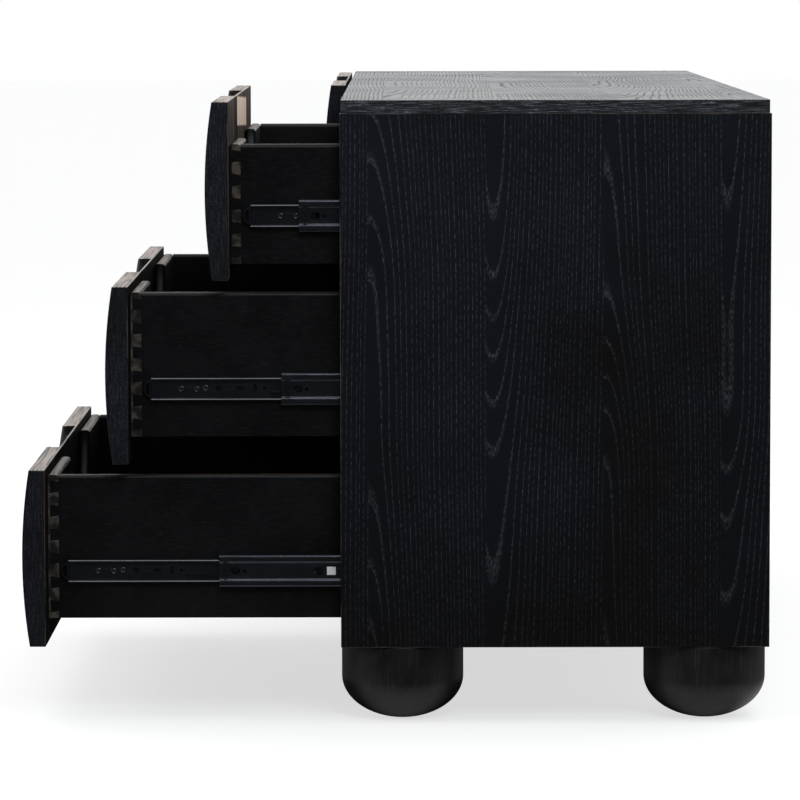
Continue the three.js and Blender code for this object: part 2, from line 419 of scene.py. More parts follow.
def make_ring_figure():
    """Ring lines of crown-cut veneer laid in leaves: nested arches near one edge, straight lines beyond."""
    inputs = [("Along", "Float"), ("Across", "Float"), ("Leaf Start", "Float"), ("Leaf Width", "Float")]
    inputs += [("Middle", "Float"), ("Ring Spacing", "Float"), ("Seed", "Float")]
    outputs = [("Ring Line", "Float"), ("Leaf Tone", "Float")]
    nodes, given, result = new_group("ring figure", inputs, outputs)
    plus, minus, times = nodes.plus, nodes.minus, nodes.times

    from_start = nodes.math("DIVIDE", minus(given["Across"], given["Leaf Start"]), given["Leaf Width"])
    leaf = nodes.math("FLOOR", from_start)
    in_leaf = times(minus(from_start, leaf), given["Leaf Width"])
    chance = nodes.add("ShaderNodeTexWhiteNoise", {"W": plus(leaf, given["Seed"])}, noise_dimensions="1D")
    random_tone = chance.outputs["Value"]
    turned = minus(1.0, times(nodes.math("PINGPONG", leaf, 1.0), 2.0))

    along_leaf = minus(given["Along"], given["Middle"])
    wander_place = nodes.vector(times(leaf, 7.3), times(given["Along"], 2.6), given["Seed"])
    wander = times(minus(nodes.noise(wander_place, detail=1.0), 0.5), 34 * MM)
    apex = minus(times(random_tone, 12 * MM), 4 * MM)
    sideways = plus(times(minus(in_leaf, apex), 1.15), times(wander, 0.10))
    depth = plus(plus(36 * MM, times(times(turned, 0.052), along_leaf)), wander)
    squares = plus(times(sideways, sideways), times(depth, depth))
    radius = nodes.math("SQRT", squares)
    uneven_place = nodes.vector(times(radius, 55.0), times(leaf, 3.1), given["Seed"])
    uneven = times(minus(nodes.noise(uneven_place, detail=1.0), 0.5), 10 * MM)
    phase = nodes.math("FRACT", nodes.math("DIVIDE", plus(radius, uneven), given["Ring Spacing"]))
    rise = nodes.ramp(phase, 0.0, 0.05)
    fall = nodes.ramp(phase, 0.09, 0.28, 1.0, 0.0)
    nodes.feed(result["Ring Line"], times(rise, fall))
    nodes.feed(result["Leaf Tone"], random_tone)
    return nodes.tree


def make_open_pores():
    """Short dashes along the grain, as open pores make, and a finer haze of them."""
    inputs = [("Along", "Float"), ("Across", "Float"), ("Dash Length", "Float"), ("Dash Width", "Float")]
    inputs += [("Seed", "Float")]
    nodes, given, result = new_group("open pores", inputs, [("Dashes", "Float"), ("Haze", "Float")])
    across = nodes.math("DIVIDE", given["Across"], given["Dash Width"])
    along = nodes.math("DIVIDE", given["Along"], given["Dash Length"])
    coarse = nodes.noise(nodes.vector(across, along, given["Seed"]), detail=1.5)
    nodes.feed(result["Dashes"], nodes.ramp(coarse, 0.42, 0.66))
    fine_place = nodes.vector(nodes.times(across, 2.3), nodes.times(along, 1.7), 4.0)
    nodes.feed(result["Haze"], nodes.ramp(nodes.noise(fine_place, detail=2.0), 0.50, 0.80))
    return nodes.tree


def make_edge_wear():
    """A broken line of rubbed finish along the edges of a box-shaped board."""
    inputs = [("Place", "Vector"), ("Low", "Vector"), ("High", "Vector"), ("Width", "Float")]
    nodes, given, result = new_group("edge wear", inputs, [("Worn", "Float")])
    below = nodes.vector_math("SUBTRACT", given["Place"], given["Low"])
    above = nodes.vector_math("SUBTRACT", given["High"], given["Place"])
    x, y, z = nodes.split(nodes.vector_math("MINIMUM", below, above))
    least = nodes.math("MINIMUM", x, y)
    most = nodes.math("MAXIMUM", x, y)
    second = nodes.math("MAXIMUM", least, nodes.math("MINIMUM", most, z))
    ragged = nodes.noise(given["Place"], scale=190.0, detail=3.0)
    patchy = nodes.ramp(nodes.noise(given["Place"], scale=14.0, detail=2.0), 0.38, 0.62)
    reach = nodes.times(nodes.times(given["Width"], ragged), patchy)
    share = nodes.math("DIVIDE", second, nodes.plus(reach, 0.02 * MM))
    nodes.feed(result["Worn"], nodes.ramp(share, 0.6, 1.4, 1.0, 0.0))
    return nodes.tree


def make_handling():
    """Faint cloudy patches and fine dust, for uneven sheen and tone."""
    inputs = [("Place", "Vector"), ("Patch Size", "Float")]
    nodes, given, result = new_group("handling", inputs, [("Clouds", "Float"), ("Dust", "Float")])
    scale = nodes.math("DIVIDE", 1.0, given["Patch Size"])
    nodes.feed(result["Clouds"], nodes.noise(given["Place"], scale=scale, detail=4.0, roughness=0.6))
    specks = nodes.noise(given["Place"], scale=1400.0, detail=1.0)
    nodes.feed(result["Dust"], nodes.ramp(specks, 0.70, 0.80))
    return nodes.tree


VENEER_PLACE = make_veneer_place()
RING_FIGURE = make_ring_figure()
OPEN_PORES = make_open_pores()
EDGE_WEAR = make_edge_wear()
HANDLING = make_handling()

AXES = {"x": (1, 0, 0), "y": (0, 1, 0), "z": (0, 0, 1)}


# ---------- Materials ----------

def ebonised_ash(
    name, axes, corners, leaf_start, seed, edge_streaks=0.4, gaps=1.0, relief=0.35, gloss=0.22
):
    """Black-stained open-grain ash veneer on a board.

    axes names the board's grain, breadth and thickness, and leaf_start is where its first whole leaf
    of veneer begins along its breadth. gaps breaks the ring lines up into pores.
    """
    grain, breadth, thickness = axes
    low, high = corners
    material, nodes, shader = new_material(name, Specular_IOR_Level=gloss)
    place = nodes.place()
    lie = nodes.group(VENEER_PLACE, {
        "Place": place, "Facing": nodes.facing(),
        "Grain": AXES[grain], "Breadth": AXES[breadth], "Thickness": AXES[thickness],
    })
    along, across, broad = lie["Along"], lie["Across"], lie["Broad Face"]
    index = "xyz".index(grain)
    figure = nodes.group(RING_FIGURE, {
        "Along": along, "Across": across, "Leaf Start": leaf_start, "Leaf Width": LEAF_WIDTH * MM,
        "Middle": (low[index] + high[index]) / 2, "Ring Spacing": RING_SPACING * MM, "Seed": seed,
    })
    pores = nodes.group(OPEN_PORES, {
        "Along": along, "Across": across, "Dash Length": 5 * MM, "Dash Width": 0.8 * MM, "Seed": seed,
    })
    edge_pores = nodes.group(OPEN_PORES, {
        "Along": along, "Across": across, "Dash Length": 26 * MM, "Dash Width": 0.8 * MM, "Seed": seed,
    })
    handling = nodes.group(HANDLING, {"Place": place, "Patch Size": 0.16})
    worn = nodes.group(EDGE_WEAR, {"Place": place, "Low": low, "High": high, "Width": 1.6 * MM})["Worn"]

    dashes = nodes.mix_value(gaps, 1.0, pores["Dashes"])
    ring_pores = nodes.times(figure["Ring Line"], dashes)
    streaks = nodes.ramp(edge_pores["Dashes"], 0.25, 0.80)
    broken = nodes.times(streaks, nodes.ramp(pores["Dashes"], 0.0, 0.9, 0.35, 1.0))
    strong = nodes.mix_value(broad, nodes.times(broken, edge_streaks), ring_pores)
    leaves = nodes.math("MULTIPLY_ADD", figure["Leaf Tone"], 0.07, handling["Clouds"])
    # Painted light: the tone, and so the blue tint and pore brightness, rises towards the top as if lit
    # from above, on top of the random leaf tone and patches.
    upward = nodes.minus(nodes.split(place)[2], (low[2] + high[2]) / 2)
    tone = nodes.math("MULTIPLY_ADD", upward, 0.45, leaves)
    pored = nodes.math("ADD", strong, nodes.times(pores["Haze"], 0.25), clamp=True)
    light = nodes.times(pored, nodes.ramp(tone, 0.24, 0.86, 0.36, 1.10))
    stain = nodes.mix_colour(
        nodes.ramp(tone, 0.24, 0.88), (0.0038, 0.0035, 0.0036, 1), (0.0030, 0.0052, 0.0106, 1)
    )
    filler = nodes.mix_colour(broad, (0.210, 0.220, 0.265, 1), (0.050, 0.055, 0.061, 1))
    filled = nodes.mix_colour(light, stain, filler)
    rubbed = nodes.mix_colour(nodes.times(worn, 0.7), filled, (0.085, 0.075, 0.065, 1))
    nodes.feed(shader.inputs["Base Color"], rubbed)
    sheen = nodes.math("MULTIPLY_ADD", handling["Clouds"], 0.14, 0.30)
    nodes.feed(shader.inputs["Roughness"], nodes.plus(sheen, nodes.times(light, 0.45)))
    add_bump(nodes, shader, nodes.times(light, -1.0), relief, 1.0)
    return material


def rubbed_edge(name, grain, bareness, sheen):
    """A long edge where the black is thin: brown wood with dark grain lines and patches of stain."""
    material, nodes, shader = new_material(name, Specular_IOR_Level=sheen)
    place = nodes.place()
    stretch = {"x": (9, 420, 420), "y": (420, 9, 420)}[grain]
    lines = nodes.noise(nodes.vector_math("MULTIPLY", place, stretch), detail=3.0)
    patches = nodes.noise(place, scale=38.0, detail=4.0)
    wood = nodes.mix_colour(patches, (0.10, 0.072, 0.055, 1), (0.28, 0.205, 0.16, 1))
    lines_left = nodes.minus(1.0, nodes.ramp(lines, 0.50, 0.60))
    bare = nodes.times(lines_left, bareness)
    lined = nodes.mix_colour(bare, (0.012, 0.011, 0.010, 1), wood)
    set_finish(nodes, shader, lined, lines, 0.30, 0.38)
    add_bump(nodes, shader, lines, 0.12, 0.6)
    return material


def stain_and_painted_light(name, thin_and_lit_share, light_patch_low, light_patch_high):
    """The back of a front: thin brownish stain, and a warm patch of painted light between two corners in
    metres.
    """
    material, nodes, shader = new_material(name, Specular_IOR_Level=0.02)
    place = nodes.place()
    parts = nodes.split(place)
    x, z = parts[0], parts[2]
    streaks = nodes.noise(nodes.vector_math("MULTIPLY", place, (34, 34, 5)), detail=4.0)
    # Brown streaks of thin stain; the high share that the lit front gets is painted light.
    worn = nodes.times(nodes.ramp(streaks, 0.38, 0.62), thin_and_lit_share)
    thin = nodes.mix_colour(worn, (0.004, 0.004, 0.004, 1), (0.095, 0.074, 0.060, 1))
    # Painted shade: a dark shadow line in a band just past the patch's end.
    past_patch = nodes.minus(x, light_patch_high.x)
    shadow_line_ends = nodes.ramp(past_patch, 0.026, 0.034, 1.0, 0.0)
    shadow_line = nodes.times(nodes.ramp(past_patch, 0.0, 0.004), shadow_line_ends)
    stain = nodes.mix_colour(shadow_line, thin, (0.0015, 0.0015, 0.0015, 1))
    # Painted light: a warm light-brown patch between the corners, its ends sloping as the light falls.
    level = nodes.math("MULTIPLY_ADD", nodes.minus(x, light_patch_low.x), -0.030, z)
    starts = nodes.ramp(x, light_patch_low.x, light_patch_low.x + 0.03)
    stops = nodes.ramp(x, light_patch_high.x - 0.006, light_patch_high.x, 1.0, 0.0)
    bottom = nodes.ramp(level, light_patch_low.z, light_patch_low.z + 0.003)
    top = nodes.ramp(level, light_patch_high.z - 0.003, light_patch_high.z, 1.0, 0.0)
    bare = nodes.times(nodes.times(starts, stops), nodes.times(bottom, top))
    tan = nodes.mix_colour(streaks, (0.62, 0.47, 0.36, 1), (0.90, 0.74, 0.60, 1))
    set_finish(nodes, shader, nodes.mix_colour(bare, stain, tan), streaks, 0.3, 0.45)
    add_bump(nodes, shader, streaks, 0.08, 0.5)
    return material


def satin_black_wood(name, grain="y"):
    """Smooth black lacquer over close-grained wood."""
    material, nodes, shader = new_material(name, Specular_IOR_Level=0.22)
    place = nodes.place()
    stretch = {"x": (90, 640, 640), "y": (640, 90, 640)}[grain]
    grain_lines = nodes.noise(nodes.vector_math("MULTIPLY", place, stretch), detail=3.0)
    handling = nodes.group(HANDLING, {"Place": place, "Patch Size": 0.11})
    lacquer = nodes.mix_colour(
        nodes.ramp(handling["Clouds"], 0.3, 0.7), (0.0010, 0.0012, 0.0018, 1), (0.0042, 0.0044, 0.0052, 1)
    )
    lines = nodes.times(nodes.ramp(grain_lines, 0.50, 0.70), 0.5)
    tinted = nodes.mix_colour(lines, lacquer, (0.013, 0.012, 0.013, 1))
    dusty = nodes.mix_colour(nodes.times(handling["Dust"], 0.5), tinted, (0.045, 0.045, 0.05, 1))
    set_finish(nodes, shader, dusty, handling["Clouds"], 0.16, 0.32)
    add_bump(nodes, shader, grain_lines, 0.05, 0.4)
    return material


def sawn_end_grain(name):
    """End grain of the box front where it shows between the dovetails, stained thinly so the wood shows."""
    material, nodes, shader = new_material(name, Specular_IOR_Level=0.2)
    place = nodes.place()
    fibres = nodes.noise(nodes.vector_math("MULTIPLY", place, (300, 900, 1300)), detail=4.0, roughness=0.65)
    blotches = nodes.noise(place, scale=75.0, detail=3.0)
    wood = nodes.mix_colour(
        nodes.ramp(fibres, 0.3, 0.7), (0.020, 0.016, 0.013, 1), (0.125, 0.105, 0.085, 1)
    )
    stained = nodes.mix_colour(nodes.ramp(blotches, 0.40, 0.62), wood, (0.012, 0.010, 0.009, 1))
    set_finish(nodes, shader, stained, fibres, 0.2, 0.55)
    add_bump(nodes, shader, fibres, 0.10, 0.5)
    return material


def turned_black_wood(name):
    """The feet: satin black over turned wood, with faint upright grain and lathe marks."""
    material, nodes, shader = new_material(name, Specular_IOR_Level=0.24)
    place = nodes.place()
    grain = nodes.noise(nodes.vector_math("MULTIPLY", place, (420, 420, 26)), detail=3.0)
    height = nodes.split(place)[2]
    marks = nodes.noise(nodes.vector(0.0, 0.0, nodes.times(height, 900.0)), detail=1.0)
    handling = nodes.group(HANDLING, {"Place": place, "Patch Size": 0.05})
    lacquer = nodes.mix_colour(
        nodes.ramp(handling["Clouds"], 0.35, 0.65), (0.0022, 0.0022, 0.0026, 1), (0.0085, 0.0084, 0.0084, 1)
    )
    lines = nodes.times(nodes.ramp(grain, 0.48, 0.72), nodes.ramp(handling["Clouds"], 0.3, 0.7))
    tinted = nodes.mix_colour(lines, lacquer, (0.022, 0.022, 0.023, 1))
    set_finish(nodes, shader, tinted, handling["Clouds"], 0.18, 0.36)
    add_bump(nodes, shader, nodes.math("MULTIPLY_ADD", marks, 0.25, grain), 0.10, 0.5)
    return material


def drawn_steel(name, dark, light, roughness):
    """Drawn sheet with fine scratches along its length; the black slides have a thin violet-black coat."""
    material, nodes, shader = new_material(name, Metallic=0.9)
    place = nodes.place()
    drawn = nodes.noise(nodes.vector_math("MULTIPLY", place, (900, 18, 900)), detail=3.0)
    handling = nodes.group(HANDLING, {"Place": place, "Patch Size": 0.04})
    coat = nodes.mix_colour(handling["Clouds"], dark, light)
    brighter = nodes.vector_math("MULTIPLY", coat, (2.2, 2.2, 2.2))
    scratched = nodes.mix_colour(nodes.ramp(drawn, 0.58, 0.80), coat, brighter)
    set_finish(nodes, shader, scratched, drawn, 0.16, roughness)
    add_bump(nodes, shader, drawn, 0.02, 0.3)
    return material


def moulded_plastic(name, dark, light, roughness):
    material, nodes, shader = new_material(name, Specular_IOR_Level=0.25)
    place = nodes.place()
    fine = nodes.noise(place, scale=2600.0, detail=2.0)
    handling = nodes.group(HANDLING, {"Place": place, "Patch Size": 0.012})
    set_finish(nodes, shader, nodes.mix_colour(handling["Clouds"], dark, light), fine, 0.15, roughness)
    add_bump(nodes, shader, fine, 0.02, 0.4)
    return material


def painted_board(name):
    """The back: thin board with matt black paint rolled on."""
    material, nodes, shader = new_material(name, Specular_IOR_Level=0.25)
    place = nodes.place()
    stipple = nodes.noise(place, scale=520.0, detail=3.0)
    handling = nodes.group(HANDLING, {"Place": place, "Patch Size": 0.22})
    paint = nodes.mix_colour(handling["Clouds"], (0.007, 0.007, 0.008, 1), (0.014, 0.014, 0.014, 1))
    dusty = nodes.mix_colour(nodes.times(handling["Dust"], 0.5), paint, (0.06, 0.06, 0.06, 1))
    set_finish(nodes, shader, dusty, stipple, 0.15, 0.55)
    add_bump(nodes, shader, stipple, 0.08, 0.5)
    return material


BOX_WOOD = satin_black_wood("drawer box wood", "y")
BOX_WOOD_CROSS = satin_black_wood("drawer box wood across", "x")
FRONT_RIM = rubbed_edge("rubbed front rim", "x", 1.0, 0.35)
BOX_RIM_ALONG = rubbed_edge("rubbed box rim along", "y", 0.12, 0.08)
BOX_RIM_CROSS = rubbed_edge("rubbed box rim across", "x", 0.40, 0.12)
END_GRAIN = sawn_end_grain("dovetail end grain")
FOOT_WOOD = turned_black_wood("foot wood")
STEEL = drawn_steel("black slide steel", (0.036, 0.039, 0.049, 1), (0.072, 0.077, 0.090, 1), 0.13)
# Lighter steel for the drawer rail's lip edges, a painted highlight for the bright lines along them.
PAINTED_HIGHLIGHT_STEEL = drawn_steel("painted highlight steel", (0.09, 0.09, 0.10, 1), (0.20, 0.20, 0.21, 1), 0.24)
BLACK_PLASTIC = moulded_plastic("black plastic", (0.003, 0.003, 0.004, 1), (0.009, 0.009, 0.010, 1), 0.30)
SCREW_STEEL = drawn_steel("screw steel", (0.035, 0.035, 0.040, 1), (0.10, 0.10, 0.11, 1), 0.26)
WHITE_NYLON = moulded_plastic("white nylon", (0.62, 0.64, 0.66, 1), (0.78, 0.79, 0.80, 1), 0.40)
BACK_PAINT = painted_board("back paint")


# ---------- Case ----------

def dress_panel(node, axes, leaf_offset, seed, **look):
    """Gives a case panel its softened edges and its veneer."""
    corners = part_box(node)
    leaf_start = corners[0]["xyz".index(axes[1])] + leaf_offset * MM
    dress_node(node, ebonised_ash(f"ash {node}", axes, corners, leaf_start, seed, **look))


def dress_node(node, material):
    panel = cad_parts[node]
    panel.data.materials.clear()
    panel.data.materials.append(material)
    arris = panel.modifiers.new("soft edges", "BEVEL")
    arris.width = PANEL_ARRIS * MM
    arris.segments = 2
    arris.limit_method = "ANGLE"
    normals = panel.modifiers.new("even normals", "WEIGHTED_NORMAL")
    normals.keep_sharp = True


def build_case():
    dress_panel("right_side_panel", "zyx", 29.0, 14.0)
    dress_panel("left_side_panel", "zyx", 61.0, 8.0)
    dress_panel("top_panel", "xyz", 44.0, 12.0, edge_streaks=1.0, gaps=0.5, relief=1.4, gloss=0.33)
    dress_panel("centre_divider", "zyx", 10.0, 17.0)
    dress_panel("bottom_panel", "xyz", 20.0, 21.0)
    dress_node("back_panel", BACK_PAINT)


def foot_profile(low, high, radius):
    """Radius and height pairs in millimetres from the flat under the foot up to its top."""
    dome_top = low + FOOT_DOME
    full_dome = FOOT_DOME / math.sqrt(1 - (FOOT_FLAT_RADIUS / radius) ** 2)
    start = math.acos(FOOT_FLAT_RADIUS / radius)
    profile = [(0.01, low)]
    for step in range(FOOT_DOME_STEPS + 1):
        angle = start * (1 - step / FOOT_DOME_STEPS)
        profile.append((radius * math.cos(angle), dome_top - full_dome * math.sin(angle)))
    profile.append((radius, high - FOOT_ARRIS))
    for step in (1, 2, 3):
        angle = math.radians(30 * step)
        inward = FOOT_ARRIS * (1 - math.cos(angle))
        profile.append((radius - inward, high - FOOT_ARRIS * (1 - math.sin(angle))))
    profile.append((0.01, high))
    return profile


def build_feet():
    for row in ("front", "rear"):
        for side in SIDES:
            node = f"foot_{row}_{side}"
            low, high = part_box(node)
            radius = (high.x - low.x) / 2 / MM
            bm = lathe(foot_profile(low.z / MM, high.z / MM, radius), 96)
            shift(bm, Vector(((low.x + high.x) / 2, (low.y + high.y) / 2, 0)))
            add_piece(f"{node}_turned", mesh_of(bm, node), [FOOT_WOOD], "carcass", "foot_wood", [node])


# ---------- Drawer fronts ----------

class Bow:
    """The bowed outer face of a front: an arc in Y and Z, in millimetres from its back and bottom edges."""

    def __init__(self, height, depth):
        self.height = height
        self.depth = depth
        rise = depth - FRONT_EDGE_THICKNESS
        self.radius = ((height / 2) ** 2 + rise ** 2) / (2 * rise)

    def at(self, z):
        offset = min(max(z, 0.0), self.height) - self.height / 2
        return self.radius - self.depth - math.sqrt(self.radius ** 2 - offset ** 2)

    def outline(self, steps=28):
        points = [(0.0, 0.0), (0.0, self.height)]
        for step in range(steps + 1):
            z = self.height * (1 - step / steps)
            points.append((self.at(z), z))
        return points


def half_moon_ring(half_width, depth, top, steps=40, overshoot=6.0):
    """X and Z pairs round the lower half of an ellipse, closed above the top edge."""
    points = [(half_width, top + overshoot)]
    for step in range(steps + 1):
        angle = math.pi * step / steps
        points.append((half_width * math.cos(angle), top - depth * math.sin(angle)))
    points.append((-half_width, top + overshoot))
    return points


def pull_cutter(bow):
    """The hollow of the finger pull: a rounded rim, a lip, and a wider groove behind the lip."""
    half, top = PULL_WIDTH / 2, bow.height
    bm = bmesh.new()
    rings = []

    def add_ring(grow, drop, depth_at):
        pairs = half_moon_ring(half + grow, PULL_DEPTH + drop, top)
        rings.append([bm.verts.new(mm(x, depth_at(z), z)) for x, z in pairs])

    add_ring(PULL_RIM_RADIUS, PULL_RIM_RADIUS, lambda z: bow.at(z) - 5.0)
    for step in range(7):
        angle = math.radians(6 + 84 * step / 6)
        grow = PULL_RIM_RADIUS * (1 - math.sin(angle))
        sink = PULL_RIM_RADIUS * (1 - math.cos(angle))
        add_ring(grow, grow, lambda z, sink=sink: bow.at(z) + sink)
    lip_back = PULL_LIP - FRONT_EDGE_THICKNESS
    add_ring(0.0, 0.0, lambda z: lip_back)
    grown, bevel = PULL_GROOVE_GROWTH, PULL_FLOOR_BEVEL
    add_ring(grown, PULL_UNDERCUT, lambda z: lip_back)
    add_ring(grown, PULL_UNDERCUT, lambda z: -PULL_BACK_WALL - bevel)
    add_ring(grown - bevel, PULL_UNDERCUT - bevel, lambda z: -PULL_BACK_WALL)
    close_rings(bm, rings)
    return bm


def mark_rim(bm, top, depth, index=1):
    """Gives the upward faces within a depth of the top, in millimetres, their own material."""
    for face in bm.faces:
        if face.normal.z > 0.55 and face.calc_center_median().z > (top - depth) * MM:
            face.material_index = index


def build_front(prefix, seed):
    node = f"{prefix}_front"
    low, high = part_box(node)
    bow = Bow((high.z - low.z) / MM, (high.y - low.y) / MM)
    half = (high.x - low.x) / 2 / MM
    bm = prism(bow.outline(), "x", -half, half)
    round_edges(bm, sharp_edges(bm), FRONT_ARRIS)
    bm = carve(bm, [pull_cutter(bow)])
    mark_rim(bm, bow.height, FRONT_ARRIS)
    for face in bm.faces:
        if face.normal.y > 0.9 and face.calc_center_median().y > -0.1 * MM:
            face.material_index = 2
    shift(bm, Vector(((low.x + high.x) / 2, high.y, low.z)))

    # Only the lit front gets the patch of painted light; the other fronts get an empty patch.
    is_lit_front = prefix == PAINTED_LIGHT_FRONT
    light_patch_high = high - mm(LIGHT_PATCH_FROM_END[0], 0, LIGHT_PATCH_FROM_TOP[0])
    light_patch_low = high - mm(LIGHT_PATCH_FROM_END[1], 0, LIGHT_PATCH_FROM_TOP[1])
    if not is_lit_front:
        light_patch_high.z = light_patch_low.z
    # The lit front's back gets far more brown streaks, as painted light; the others keep a thin stain.
    back = stain_and_painted_light(f"back of {node}", 0.9 if is_lit_front else 0.12, light_patch_low, light_patch_high)
    leaf_start = low.z - FRONT_LEAF_DROP * MM
    ash = ebonised_ash(f"ash {node}", "xzy", (low, high), leaf_start, seed, edge_streaks=0.11)
    materials = [ash, FRONT_RIM, back]
    add_piece(
        f"{prefix}_bowed_front", mesh_of(bm, node), materials, f"{prefix}_drawer", "ebonised_ash", [node]
    )


# ---------- Drawer boxes ----------

class Box:
    """A drawer box in its own millimetres: X from its middle, Y from the front's back, Z from below."""

    def __init__(self, prefix):
        names = [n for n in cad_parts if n.startswith(prefix)]
        boards = [n for n in names if "_box" in n or "_side_" in n]
        corners = [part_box(n) for n in boards]
        low = Vector([min(c[0][i] for c in corners) for i in range(3)])
        high = Vector([max(c[1][i] for c in corners) for i in range(3)])
        front_low, front_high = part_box(f"{prefix}_front")
        self.prefix = prefix
        self.tier = prefix.split("_")[1]
        self.boards = boards
        self.origin = Vector(((low.x + high.x) / 2, front_high.y, low.z))
        self.half = (high.x - low.x) / 2 / MM
        self.height = (high.z - low.z) / MM
        self.setback = (low.y - front_high.y) / MM
        self.depth = (high.y - front_high.y) / MM
        self.notch_depth = NOTCH_SHARE * self.height
        self.notch_centre = ((front_low.x + front_high.x) / 2 - self.origin.x) / MM
        self.front_rear = self.setback + BOX_FRONT_THICKNESS
        self.shoulder = self.front_rear + BOARD_GAP

    def tail_centres(self):
        count = round(self.height / TAIL_PITCH)
        pitch = self.height / count
        return [self.height - (index + 0.5) * pitch for index in range(count)]

    def tail(self, centre, clearance):
        base, tip = TAIL_BASE / 2 + clearance, TAIL_TIP / 2 + clearance
        tip_face = self.setback + JOINT_LAP - clearance
        base_face = self.shoulder
        return [
            (base_face, centre + base), (tip_face, centre + tip),
            (tip_face, centre - tip), (base_face, centre - base),
        ]

    def stands_for(self, part):
        """The CAD nodes that a board replaces: its own, or the joined box once, for the box front."""
        own = f"{self.prefix}_{part}"
        if own in self.boards:
            return [own]
        return [f"{self.prefix}_box"] if part == "box_front" else []

    def add(self, part, bm, materials):
        shift(bm, self.origin)
        body = f"{self.prefix}_drawer"
        name = f"{self.prefix}_{part}_board"
        add_piece(name, mesh_of(bm, name), materials, body, "drawer_box_wood", self.stands_for(part))


def notched_outline(box):
    points = [(-box.half, 0.0), (box.half, 0.0), (box.half, box.height)]
    steps = 44
    for step in range(steps + 1):
        angle = math.pi * step / steps
        x = box.notch_centre + NOTCH_WIDTH / 2 * math.cos(angle)
        points.append((x, box.height - box.notch_depth * math.sin(angle)))
    points.append((-box.half, box.height))
    return points


def build_box_front(box):
    bm = prism(notched_outline(box), "y", box.setback, box.front_rear)
    faces = (box.setback * MM, box.front_rear * MM)

    def on_rim(edge):
        flat = all(min(abs(v.co.y - y) for y in faces) < 1e-6 for v in edge.verts)
        same = abs(edge.verts[0].co.y - edge.verts[1].co.y) < 1e-6
        high = all(v.co.z > (box.height - box.notch_depth - 1) * MM for v in edge.verts)
        upright = abs(edge.verts[0].co.x - edge.verts[1].co.x) < 1e-6
        return flat and same and high and not upright

    round_edges(bm, [e for e in bm.edges if on_rim(e)], BOX_TOP_ROUNDING, 5)
    cutters = []
    for centre in box.tail_centres():
        socket = box.tail(centre, JOINT_CLEARANCE)
        deep = box.half - BOX_WALL - JOINT_CLEARANCE
        cutters.append(prism(socket, "x", deep, box.half + 1))
        cutters.append(prism(socket, "x", -box.half - 1, -deep))
    bm = carve(bm, cutters)
    lap_line = (box.setback + BLACK_LAP_SHARE[box.tier] * JOINT_LAP) * MM
    everything = bm.verts[:] + bm.edges[:] + bm.faces[:]
    bmesh.ops.bisect_plane(bm, geom=everything, plane_co=(0, lap_line, 0), plane_no=(0, 1, 0))
    end_plane = (box.half - 0.3) * MM
    for face in bm.faces:
        middle = face.calc_center_median()
        at_end = abs(middle.x) > end_plane and abs(face.normal.x) > 0.9
        face.material_index = 1 if at_end and middle.y > lap_line else 0
    mark_rim(bm, box.height, BOX_TOP_ROUNDING, 2)
    box.add("box_front", bm, [BOX_WOOD_CROSS, END_GRAIN, BOX_RIM_CROSS])


def long_top_edges(bm, height, axis):
    """The edges of a board's top that run along an axis, 0 for X and 1 for Y."""
    top = height * MM - 1e-6
    across = 1 - axis
    rims = [e for e in bm.edges if all(v.co.z > top for v in e.verts)]
    return [e for e in rims if abs(e.verts[0].co[across] - e.verts[1].co[across]) < 1e-6]


def build_box_side(box, part, sign):
    points = [(box.depth, 0.0), (box.depth, box.height), (box.shoulder, box.height)]
    for centre in box.tail_centres():
        points.extend(box.tail(centre, 0.0))
    points.append((box.shoulder, 0.0))
    bounds = sorted((sign * (box.half - BOX_WALL), sign * box.half))
    bm = prism(points, "x", *bounds)
    round_edges(bm, long_top_edges(bm, box.height, 1), BOX_TOP_ROUNDING, 5)
    mark_rim(bm, box.height, BOX_TOP_ROUNDING)
    box.add(part, bm, [BOX_WOOD, BOX_RIM_ALONG])


def build_box_rest(box):
    inner = box.half - BOX_WALL - BOARD_GAP
    back_face = box.depth - BOX_WALL
    back = block((-inner, back_face, BOX_BOTTOM_RISE), (inner, box.depth, box.height))
    round_edges(back, long_top_edges(back, box.height, 0), BOX_TOP_ROUNDING, 5)
    mark_rim(back, box.height, BOX_TOP_ROUNDING)
    box.add("box_back", back, [BOX_WOOD_CROSS, BOX_RIM_CROSS])
    floor_top = BOX_BOTTOM_RISE + BOX_BOTTOM_THICKNESS
    floor = block((-inner, box.shoulder, BOX_BOTTOM_RISE), (inner, back_face - BOARD_GAP, floor_top))
    round_edges(floor, sharp_edges(floor), 0.3, 1)
    box.add("box_bottom", floor, [BOX_WOOD_CROSS])


def build_box(prefix):
    box = Box(prefix)
    build_box_front(box)
    outward = SIDES[prefix.split("_")[0]]
    build_box_side(box, "side_outer", outward)
    build_box_side(box, "side_inner", -outward)
    build_box_rest(box)


# ---------- Slides ----------

def sheet_outline(half_path, thickness):
    """The outline of bent sheet whose middle line is the half path and its mirror image below."""
    path = [(x, -z) for x, z in half_path[:0:-1]] + list(half_path)
    left, right = [], []
    for index, (x, z) in enumerate(path):
        before = path[max(index - 1, 0)]
        after = path[min(index + 1, len(path) - 1)]
        way = Vector((after[0] - before[0], after[1] - before[1])).normalized()
        normal = Vector((-way.y, way.x)) * thickness / 2
        left.append((x + normal.x, z + normal.y))
        right.append((x - normal.x, z - normal.y))
    first = 0.45 * thickness * (Vector(path[0]) - Vector(path[1])).normalized()
    last = 0.45 * thickness * (Vector(path[-1]) - Vector(path[-2])).normalized()
    nose_first = tuple(Vector(path[0]) + first)
    nose_last = tuple(Vector(path[-1]) + last)
    return [nose_first] + left + [nose_last] + right[::-1]


